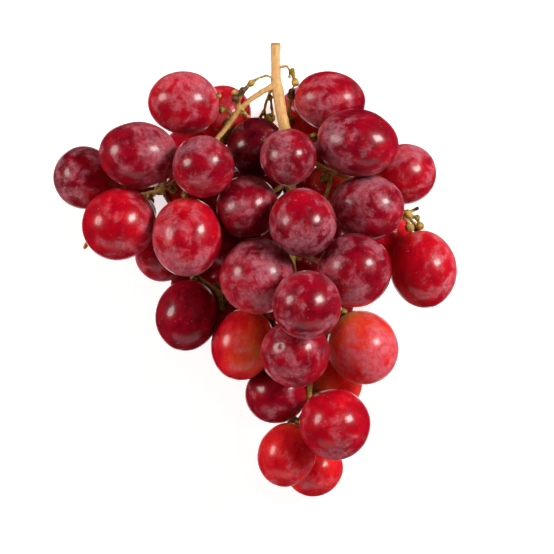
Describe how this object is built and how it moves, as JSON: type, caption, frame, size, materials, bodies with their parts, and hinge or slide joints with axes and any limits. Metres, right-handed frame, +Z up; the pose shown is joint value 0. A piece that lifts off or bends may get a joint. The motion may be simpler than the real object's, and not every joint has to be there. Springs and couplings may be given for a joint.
{
  "type": "bunch of grapes",
  "caption": "Bunch of round to oval red table grapes on their woody stalk, lying on its side. Food to serve, pick from or set in a bowl.",
  "frame": {"origin": "on the surface the bunch lies on, under the middle of the bunch's box", "axes": "+Z up; +Y along the bunch, towards the cut end of the stalk; +X across it, to the right seen from above with the stalk pointing away"},
  "size_m": [0.1454, 0.1654, 0.0783],
  "materials": {
    "stalk": "dry matt, tan to olive brown",
    "skin_wine": "wine red skin with a grey-pink bloom",
    "skin_bright": "bright red skin with a light bloom",
    "skin_blush": "orange-red skin, paler at the stem end",
    "skin_dark": "very dark maroon skin"
  },
  "bodies": {
    "root": {"stalk": "stalk", "grape_left_shoulder_1": "skin_bright", "grape_left_shoulder_2": "skin_bright", "grape_left_shoulder_3": "skin_wine", "grape_left_shoulder_4": "skin_wine", "grape_left_shoulder_5": "skin_wine", "grape_left_shoulder_6": "skin_bright", "grape_left_shoulder_7": "skin_bright", "grape_left_shoulder_8": "skin_wine", "grape_left_shoulder_9": "skin_wine", "grape_left_shoulder_10": "skin_wine", "grape_left_shoulder_11": "skin_dark", "grape_left_shoulder_12": "skin_dark", "grape_crown_1": "skin_dark", "grape_right_crown_1": "skin_bright", "grape_right_crown_2": "skin_bright", "grape_right_shoulder_1": "skin_wine", "grape_right_shoulder_2": "skin_bright", "grape_right_shoulder_3": "skin_wine", "grape_right_shoulder_4": "skin_bright", "grape_right_shoulder_5": "skin_bright", "grape_right_shoulder_6": "skin_blush", "grape_right_shoulder_7": "skin_wine", "grape_right_shoulder_8": "skin_wine", "grape_right_shoulder_9": "skin_wine", "grape_right_shoulder_10": "skin_dark", "grape_heart_1": "skin_wine", "grape_heart_2": "skin_wine", "grape_heart_3": "skin_dark", "grape_heart_4": "skin_dark", "grape_heart_5": "skin_dark", "grape_heart_6": "skin_dark", "grape_right_heart_1": "skin_wine", "grape_right_heart_2": "skin_dark", "grape_right_heart_3": "skin_dark", "grape_right_heart_4": "skin_dark", "grape_front_1": "skin_wine", "grape_left_waist_1": "skin_wine", "grape_left_waist_2": "skin_dark", "grape_left_waist_3": "skin_dark", "grape_left_waist_4": "skin_dark", "grape_left_waist_5": "skin_dark", "grape_left_tail_1": "skin_blush", "grape_left_tail_2": "skin_wine", "grape_right_tail_1": "skin_blush", "grape_tail_1": "skin_wine", "grape_tail_2": "skin_wine", "grape_tail_3": "skin_bright", "grape_tail_4": "skin_bright", "grape_tail_5": "skin_bright", "grape_tail_6": "skin_bright"}
  },
  "joints": []
}
